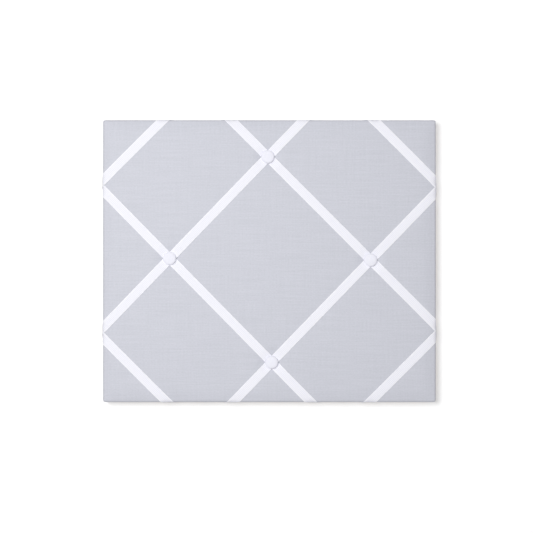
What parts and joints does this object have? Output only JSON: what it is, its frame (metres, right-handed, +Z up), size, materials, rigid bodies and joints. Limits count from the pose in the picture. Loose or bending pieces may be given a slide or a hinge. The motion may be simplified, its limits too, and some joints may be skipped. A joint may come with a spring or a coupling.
{
  "type": "french memo board",
  "caption": "Padded cloth-covered memo board with crossed ribbons pinned by covered buttons to hold cards and photographs, with hinged hanging rings at the back.",
  "frame": {"origin": "centre of the board on the plane of the wall that it hangs on", "axes": "+X to the right seen from the front, +Y into the wall (the face looks along -Y), +Z up"},
  "size_m": [0.4024, 0.0307, 0.3402],
  "materials": {
    "cloth": "plain-weave slub cloth, matt",
    "ribbon": "fine ribbed woven ribbon, soft sheen",
    "button": "woven cloth stretched over a domed shell",
    "foam": "open-cell foam sheet",
    "hardboard": "pressed hardboard",
    "pine": "planed pine",
    "card": "kraft-faced card",
    "steel": "zinc-plated steel",
    "rubber": "soft moulded rubber"
  },
  "bodies": {
    "board": {"batten_top": "pine", "batten_bottom": "pine", "batten_left": "pine", "batten_right": "pine", "face_panel": "hardboard", "foam_pad": "foam", "fabric_cover": "cloth", "ribbon_rising_1": "ribbon", "ribbon_rising_2": "ribbon", "ribbon_rising_3": "ribbon", "ribbon_rising_4": "ribbon", "ribbon_falling_1": "ribbon", "ribbon_falling_2": "ribbon", "ribbon_falling_3": "ribbon", "ribbon_falling_4": "ribbon", "staple_rising_1_start": "steel", "staple_rising_1_end": "steel", "staple_rising_2_start": "steel", "staple_rising_2_end": "steel", "staple_rising_3_start": "steel", "staple_rising_3_end": "steel", "staple_rising_4_start": "steel", "staple_rising_4_end": "steel", "staple_falling_1_start": "steel", "staple_falling_1_end": "steel", "staple_falling_2_start": "steel", "staple_falling_2_end": "steel", "staple_falling_3_start": "steel", "staple_falling_3_end": "steel", "staple_falling_4_start": "steel", "staple_falling_4_end": "steel", "button_cap_left": "button", "button_cap_top": "button", "button_cap_right": "button", "button_cap_bottom": "button", "button_plate_left": "steel", "button_plate_top": "steel", "button_plate_right": "steel", "button_plate_bottom": "steel", "button_pin_left": "steel", "button_pin_top": "steel", "button_pin_right": "steel", "button_pin_bottom": "steel", "back_sheet": "card", "hanger_strap_left": "steel", "hanger_strap_right": "steel", "hanger_screw_left": "steel", "hanger_screw_right": "steel", "bumper_left": "rubber", "bumper_right": "rubber"},
    "ring_left": {"hanger_ring_left": "steel"},
    "ring_right": {"hanger_ring_right": "steel"}
  },
  "joints": [
    {"name": "left_ring_hinge", "type": "hinge", "parent": "board", "child": "ring_left", "pos_m": [-0.181, -0.00245, 0.1145], "axis": [-1, 0, 0], "range_deg": [0, 165]},
    {"name": "right_ring_hinge", "type": "hinge", "parent": "board", "child": "ring_right", "pos_m": [0.181, -0.00245, 0.1145], "axis": [-1, 0, 0], "range_deg": [0, 165]}
  ]
}
